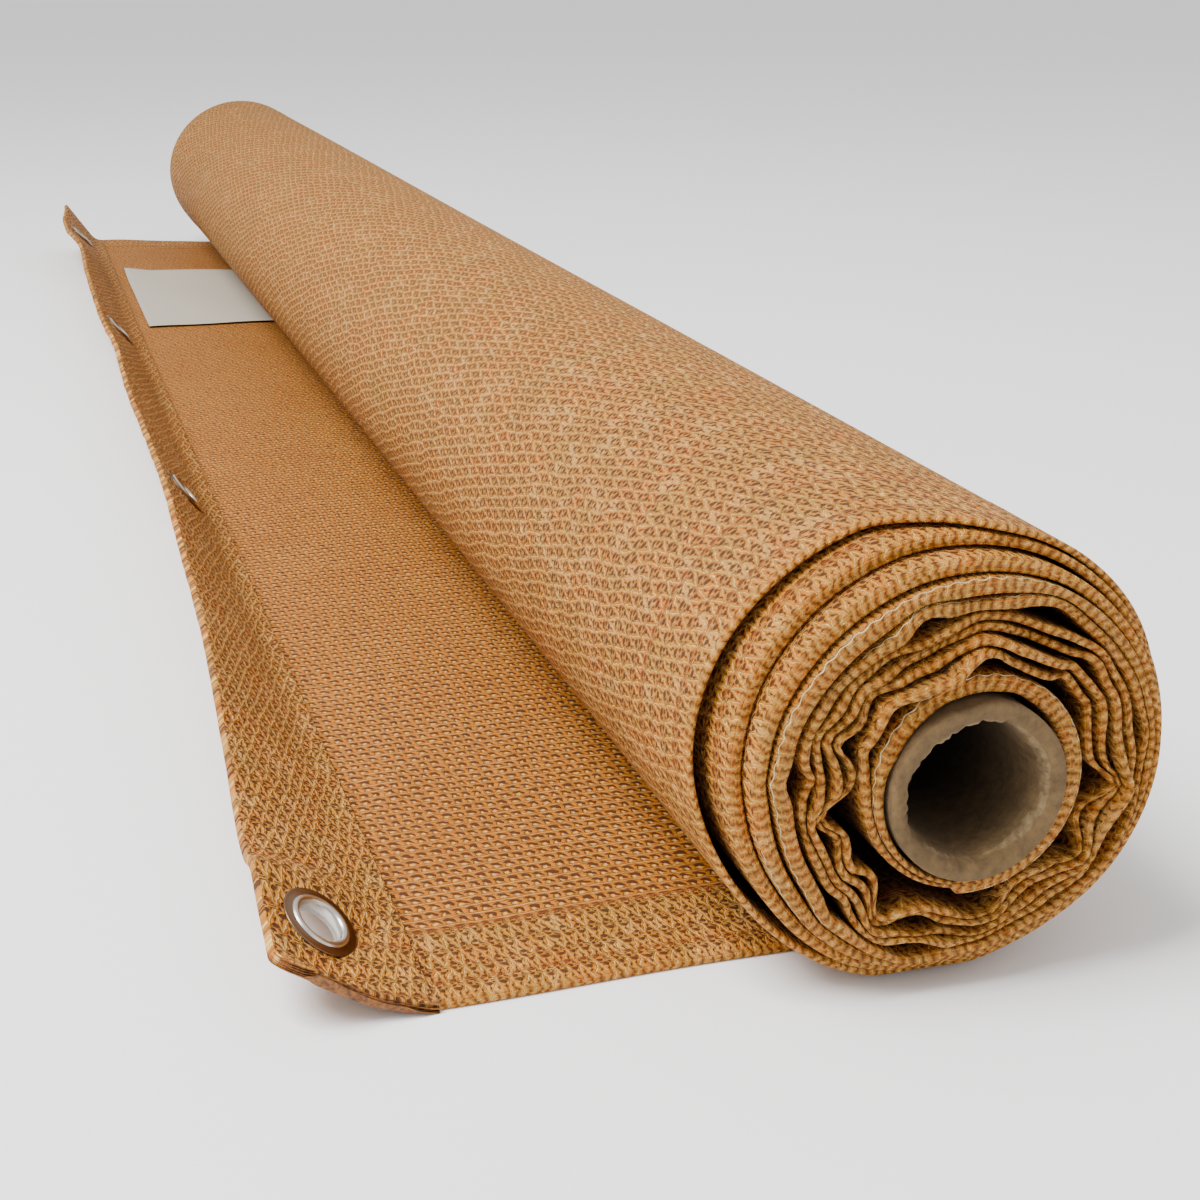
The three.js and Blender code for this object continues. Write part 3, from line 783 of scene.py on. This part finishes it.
# place along the seam in mm and the strip's slant there in radians
LEAN = [(0, .46), (62, .46), (160, .64), (260, .8), (380, .88), (484, .94), (528, .94),
        (700, .91), (830, .96), (945, .9), (989, .9), (1140, .92), (1270, .99), (1406, .8),
        (1450, .8), (1524, .96)]


def strip_width(v):
    """The strip's width, with a rounded near corner: the width less R plus root of R squared less
    the inset squared."""
    inset = np.clip(STRIP_NEAR + STRIP_CORNER - v, 0, STRIP_CORNER)
    return STRIP_WIDTH - STRIP_CORNER + np.sqrt(STRIP_CORNER**2 - inset**2)


def strip_surface(u, v):
    """Middle of the strip, u from 0 at its seam to 1 at its outer side: an arc, then straight, with
    a slow ruffle along its outer side and a local tilt towards the front at the first eyelet."""
    lean, width = along(LEAN, v), strip_width(v)
    arc = np.minimum(u / STRIP_BEND, 1) * lean
    straight = np.maximum(0, u - STRIP_BEND) * width
    out = np.sin(arc) * STRIP_BEND * width / lean + straight * np.cos(lean)
    up = (1 - np.cos(arc)) * STRIP_BEND * width / lean + straight * np.sin(lean)
    ruffle = 0.5 * u * np.sin(v / 9.7 + np.sin(v / 23.0)) + 0.35 * u * np.sin(v / 4.1)
    reach_1, along_1 = u * STRIP_WIDTH - (STRIP_WIDTH - EYELET_INSET), v - EYELET_Y[0]
    tilt = (0.34 * along_1 + 0.26 * reach_1) * np.exp(-((along_1**2 + reach_1**2) / 29**2) ** 2)
    tilt = np.maximum(tilt, -0.55 * up) * ease(0, 0.3, u)
    lift = STRIP_THICKNESS / 2 + along(SEAM_LIFT, v) + up + ruffle * ease(0.4, 1, u) + tilt
    return np.stack([STRIP_X - out, v + 0 * u, lift], -1)


print("strip's outer side stands", strip_surface(1.0, FLAT_WIDTH / 2)[2].round(1), "mm up")

# %% Hem strip with its openings
ACROSS = 12
OVERHANG = 0.05
across = np.linspace(0, 1 + OVERHANG, ACROSS + 1)
flat_points, flat_faces = [], []


def add_flat(grid_u, grid_v, close=False):
    """Adds one flat grid of quads to the strip's layout."""
    start = sum(len(part) for part in flat_points)
    flat_points.append(np.stack([grid_u.ravel(), grid_v.ravel()], 1))
    flat_faces.append(grid_faces(*grid_u.shape, close_columns=close) + start)


PATCH = 18.0
HOLE = 8.6
edges = [STRIP_NEAR] + [y + side * PATCH for y in EYELET_Y for side in (-1, 1)] + [FLAT_WIDTH]
for low, high in zip(edges[0::2], edges[1::2]):
    steps = max(4, int((high - low) / 3.2))
    grid_u, grid_v = np.meshgrid(across, np.linspace(low, high, steps + 1), indexing="ij")
    add_flat(grid_u, grid_v)
hole_u = 1 - EYELET_INSET / STRIP_WIDTH
side_up = np.linspace(-PATCH, PATCH, ACROSS + 1)[:-1]
side_over = across[:-1]
rim_u = np.concatenate([side_over, np.full(ACROSS, 1 + OVERHANG), 1 + OVERHANG - side_over,
                        np.zeros(ACROSS)])
rim_v = np.concatenate([np.full(ACROSS, -PATCH), side_up, np.full(ACROSS, PATCH), -side_up])
rim_angle = np.arctan2(rim_v, (rim_u - hole_u) * STRIP_WIDTH)
for y in EYELET_Y:
    ring_u = hole_u + HOLE * np.cos(rim_angle) / STRIP_WIDTH
    ring_v = HOLE * np.sin(rim_angle)
    share = np.linspace(0, 1, 8)[None, :] ** 1.3
    add_flat(ring_u[:, None] + (rim_u - ring_u)[:, None] * share,
             y + ring_v[:, None] + (rim_v - ring_v)[:, None] * share, close=True)
flat = np.concatenate(flat_points)
strip_faces = np.concatenate(flat_faces)
keys = np.round(flat * [1e4, 1e2])
_, first, index = np.unique(keys, axis=0, return_index=True, return_inverse=True)
index = index.reshape(-1)
flat, strip_faces = flat[first], index[strip_faces]
turned = flat[strip_faces]
cross = ((turned[:, 1, 0] - turned[:, 0, 0]) * (turned[:, 3, 1] - turned[:, 0, 1])
         - (turned[:, 1, 1] - turned[:, 0, 1]) * (turned[:, 3, 0] - turned[:, 0, 0]))
strip_faces = np.where((cross > 0)[:, None], strip_faces[:, ::-1], strip_faces)
strip_points = strip_surface(flat[:, 0], flat[:, 1])
strip_uv = np.stack([-flat[:, 0] * STRIP_WIDTH, flat[:, 1]], 1)[strip_faces]
strip = mesh_piece("hem_strip", strip_points, strip_faces, [netting], "netting", strip_uv * MM)
thick = strip.modifiers.new("thickness", "SOLIDIFY")
thick.thickness = STRIP_THICKNESS * MM
thick.offset = 0
fullness = (0.55 + 0.45 * ease(0, 0.3, flat[:, 0])).round(3)
group = strip.vertex_groups.new(name="fullness")
for share in np.unique(fullness):
    members = [int(k) for k in np.flatnonzero(fullness == share)]
    group.add(members, float(share), "REPLACE")
thick.vertex_group = group.name
rounded = strip.modifiers.new("rounded", "BEVEL")
rounded.width = 1.3 * MM
rounded.segments = 2
rounded.limit_method = "ANGLE"
rounded.angle_limit = math.radians(55)
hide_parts("eyelet_hem")
print("hem strip", len(strip_points), "points", len(strip_faces), "faces")

# %% [markdown]
# Plies at the strip's near end
# The strip is net folded several times, and at its near end the folds show as stacked edges. Each
# is a flattened bead that follows the strip's outline: an ellipse swept along it.

# %% Ply edges
# each ply's height over the strip's middle and how far it reaches out, mm
PLIES = [(-1.5, 1.3), (-0.9, 0.8), (-0.3, 1.2), (0.3, 0.7), (0.9, 0.9)]
BEAD_SIDES = 12
path_u = np.concatenate([np.full(14, 1 + OVERHANG), np.linspace(1 + OVERHANG, 0.0, 40)])
path_v = np.concatenate([np.linspace(32, 9.0, 14), np.full(40, STRIP_NEAR)])
shown = ease(0, 16, np.arange(len(path_u)))
path = strip_surface(path_u, path_v)
path_step = np.gradient(path, axis=0)
path_step /= np.linalg.norm(path_step, axis=1)[:, None]
lift_way = strip_surface(path_u, path_v + 0.01) - path
over_way = strip_surface(path_u + 0.001, path_v) - strip_surface(path_u - 0.001, path_v)
path_up = np.cross(over_way, lift_way)
path_up /= np.linalg.norm(path_up, axis=1)[:, None]
path_up *= np.sign(path_up[:, 2:])
path_out = np.cross(path_up, path_step)
from_inside = path - strip_surface(0.5 + 0 * path_u, path_v + 20)
path_out *= np.sign(np.sum(path_out * from_inside, 1))[:, None]
bead = np.linspace(0, 2 * math.pi, BEAD_SIDES, endpoint=False)
bead_points, bead_faces = [], []
for ply, (level, out) in enumerate(PLIES):
    wander = 0.4 * np.sin(np.arange(len(path)) * (0.16 + 0.04 * ply) + ply)
    up_by = (level + 0.15 * wander)[:, None]
    out_by = (shown * (out + wander) - 1.6)[:, None]
    middle = path + path_up * up_by + path_out * out_by
    ring = (np.cos(bead)[None, :, None] * path_out[:, None] * 1.3
            + np.sin(bead)[None, :, None] * path_up[:, None] * 0.21)
    faces = grid_faces(len(path), BEAD_SIDES, close_rows=True)
    bead_points.append((middle[:, None] + ring).reshape(-1, 3))
    bead_faces.append(faces + ply * len(path) * BEAD_SIDES)
# the net's own mottled tone, darkened with painted shade between the stacked plies
ply_finish = Finish("ply_edge", roughness=0.7)
ply_noise = ply_finish.noise(ply_finish.coordinates("Object"), 700.0, 2.0)
ply_tone_and_shade_share = (ply_noise * 2.2 - 0.6).clamp()
ply_finish.paint(ply_finish.blend(ply_tone_and_shade_share, srgb(66, 32, 8), srgb(150, 92, 32)))
ply_finish.bump(ply_noise, 0.0005, 0.8)
plies = mesh_piece("ply_edges", np.concatenate(bead_points), np.concatenate(bead_faces),
                   [ply_finish], "netting")
print("ply edges", len(plies.data.polygons), "faces")

# %% [markdown]
# Eyelets
# Each eyelet is two pressed rings of thin plated metal. The front one has a flat flange, a raised
# rim round the hole and a barrel that is spread over the back ring. A turned profile gives both.

# %% Eyelets
metal = Finish("eyelet_metal", roughness=0.3, Metallic=1.0)
metal.shader.inputs["Base Color"].default_value = (0.58, 0.55, 0.5, 1)
scuffs = metal.noise(metal.coordinates("Object"), 900.0, 3.0)
metal.bump(scuffs, 0.00006, 0.35)
# painted reflection: the flange is a dark brown copy of the eyelet metal, for the brown net that it
# mirrors
flange = Finish("eyelet_flange_painted_reflection", roughness=0.3, Metallic=1.0)
flange.shader.inputs["Base Color"].default_value = (0.22, 0.14, 0.09, 1)
# distance from the eyelet's middle and height over the strip's middle, mm: the back ring, the
# barrel, the front ring's flange and its rim
RING = [(7.5, -1.5), (8.2, -1.52), (12.6, -1.5), (12.8, -1.2), (12.6, -0.7), (8.6, -0.65),
        (8.4, 1.9), (8.6, 2.0), (12.4, 2.0), (12.8, 2.15), (12.9, 2.35), (12.8, 2.55),
        (12.4, 2.65), (10.1, 2.6), (9.9, 2.75), (9.7, 3.1), (9.3, 3.45), (8.7, 3.55),
        (8.1, 3.35), (7.7, 2.9), (7.5, 2.2)]
FLANGE_ROWS = range(10, 14)
RING_SIDES = 64


def strip_frame(y):
    """Middle of an eyelet and its three directions: across the strip, along it, and out of it."""
    u, v = hole_u + np.array([0, -0.2, 0.2, 0, 0]), y + np.array([0, 0, 0, -11.0, 11.0])
    at, low, high, near_side, far_side = strip_surface(u, v)
    over = (high - low) / np.linalg.norm(high - low)
    normal = np.cross(over, far_side - near_side)
    normal *= np.sign(normal[2]) / np.linalg.norm(normal)
    return at, over, np.cross(normal, over), normal


spin = np.linspace(0, 2 * math.pi, RING_SIDES, endpoint=False)
ring = np.array(RING)
for number, y in enumerate(EYELET_Y, 1):
    at, over, up, normal = strip_frame(y)
    around = np.cos(spin)[:, None, None] * over + np.sin(spin)[:, None, None] * up
    shape = at + ring[None, :, :1] * around + ring[None, :, 1:] * normal
    faces = grid_faces(RING_SIDES, len(RING), close_rows=True, close_columns=True)
    if np.dot(np.cross(over, up), normal) > 0:
        faces = faces[:, ::-1]
    piece = mesh_piece(f"eyelet_ring_{number}", shape.reshape(-1, 3), faces, [metal, flange],
                       "eyelet_metal")
    on_flange = np.isin(np.arange(len(faces)) % len(RING), FLANGE_ROWS).astype(np.int32)
    piece.data.polygons.foreach_set("material_index", on_flange)
    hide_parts(f"eyelet_{number}")
print("four eyelets of", len(RING), "profile points")

# %% [markdown]
# Cardboard core
# A spiral wound cardboard tube, sawn off. Its inner edge is torn, with pale fibres. A tube profile
# on a fine grid, whose inner rim is moved by noise, gives the torn edge.

# %% Cardboard finish
CORE_NEAR = -28.0
card = Finish("cardboard", roughness=0.95)
card_at = card.coordinates("Object")
fibre = card.noise(card_at, 260.0, 4.0, 0.7)
blotch = card.noise(card_at, 60.0, 2.0)
card_colour = card.blend((fibre * 1.6 - 0.3).clamp(), srgb(70, 52, 30), srgb(124, 98, 60))
card_colour = card.blend((blotch * 1.5 - 0.4).clamp() * 0.5, card_colour, srgb(70, 54, 36))
card_x, card_y, card_z = card.split(card_at)
card_x = card_x * 1000 - (AXIS[0] + CORE[0])
card_z = card_z * 1000 - (HEIGHT + CORE[1])
from_axis = (card_x * card_x + card_z * card_z).sqrt()
into = card_y * 1000 - (AXIS[1] + CORE_NEAR)
torn_fibres = abs(from_axis - 20.2).round_ridge(0.9) * into.below(5.0) * (fibre * 3.0 - 1.0).clamp()
card_colour = card.blend(torn_fibres * 0.28, card_colour, srgb(180, 160, 124))
# painted shade: the bore is darker the deeper it runs from the near end
painted_bore_shade = ((into - 5.0) / 45.0).clamp() * from_axis.below(20.6)
card.paint(card.blend(painted_bore_shade * 0.85, card_colour, srgb(30, 20, 12)))
card.bump(fibre, 0.0007, 0.8)
print("cardboard finish with", len(card.tree.nodes), "nodes")

# %% Core
# the tube's section: radius, depth from its near end, and share of the torn rim's noise; it runs
# from the far end to the near rim and back through the bore
PROFILE = [(CORE_RADIUS, 1534, 0), (CORE_RADIUS, 3, 0), (26.1, 0.8, 0.1), (25.5, 0.1, 0.2),
           (24.3, 0, 0.3), (22.6, 0.2, 0.6), (21.2, 0.6, 0.9), (20.2, 1.4, 1), (19.6, 3.2, 0.9),
           (19.2, 8, 0.5), (19.3, 20, 0.15), (19.3, 60, 0), (19.3, 400, 0), (19.3, 1100, 0),
           (19.3, 1534, 0)]
rng = np.random.default_rng(7)
SPIN = 220
spin = np.linspace(0, 2 * math.pi, SPIN, endpoint=False)


def ragged(scale):
    """A random closed wave round the core: a sum of sines that get weaker with their number."""
    wave = np.zeros(SPIN)
    for number in range(1, scale):
        wave += np.sin(number * spin + rng.uniform(0, 6.3)) / number**0.85
    return wave / np.abs(wave).max()


torn = ragged(60)
torn_depth = ragged(40)
tube_radius, tube_depth, rim_share = np.array(PROFILE).T
reach = tube_radius + rim_share * (1.9 * torn + 0.6)[:, None]
deep = CORE_NEAR + tube_depth + rim_share * (1.6 * torn_depth + 0.6)[:, None]
core_x = CORE[0] + reach * np.cos(spin)[:, None]
core_z = HEIGHT + CORE[1] + reach * np.sin(spin)[:, None]
core_points = np.stack([core_x, deep, core_z], 2)
core_faces = grid_faces(SPIN, len(PROFILE), close_rows=True, close_columns=True)
core = mesh_piece("core", core_points.reshape(-1, 3), core_faces, [card], "cardboard")
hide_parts("core_tube")
print("core", SPIN, "x", len(PROFILE))

# %% [markdown]
# Label
# A bare white label, woven or printed on the real cloth, lies on the far half of the loose end. It
# is a thin strip with slightly lifted corners.

# %% Label
LABEL_X = (-131, -34)
LABEL_Y = (1072, 1338)
LABEL_COLUMNS = 25
LABEL_ROWS = 50
paper = Finish("label_cloth", roughness=0.75)
paper.shader.inputs["Base Color"].default_value = (0.44, 0.395, 0.32, 1)
paper_weave = paper.noise(paper.coordinates("Object"), 1500.0, 2.0)
paper.bump(paper_weave, 0.0002, 0.5)
label_x, label_y = np.meshgrid(np.linspace(*LABEL_X, LABEL_COLUMNS),
                               np.linspace(*LABEL_Y, LABEL_ROWS), indexing="ij")
from_roll = (LABEL_X[1] - label_x) / (LABEL_X[1] - LABEL_X[0])
from_near = (label_y - LABEL_Y[0]) / (LABEL_Y[1] - LABEL_Y[0])
curl = 2.2 * ease(0.75, 1, from_roll) * ease(0.85, 1, from_near)
curl += 0.7 * ease(0.94, 1, 1 - from_near)
label_z = 2 * HALF_PLY + 1.1 + flap_lift(label_x, label_y) + curl
label_points = np.stack([label_x, label_y, label_z], 2)
label = mesh_piece("label_sheet", label_points.reshape(-1, 3),
                   grid_faces(LABEL_COLUMNS, LABEL_ROWS), [paper], "label_cloth")
label_thick = label.modifiers.new("thickness", "SOLIDIFY")
label_thick.thickness = 0.5 * MM
label_thick.offset = 0
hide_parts("label")
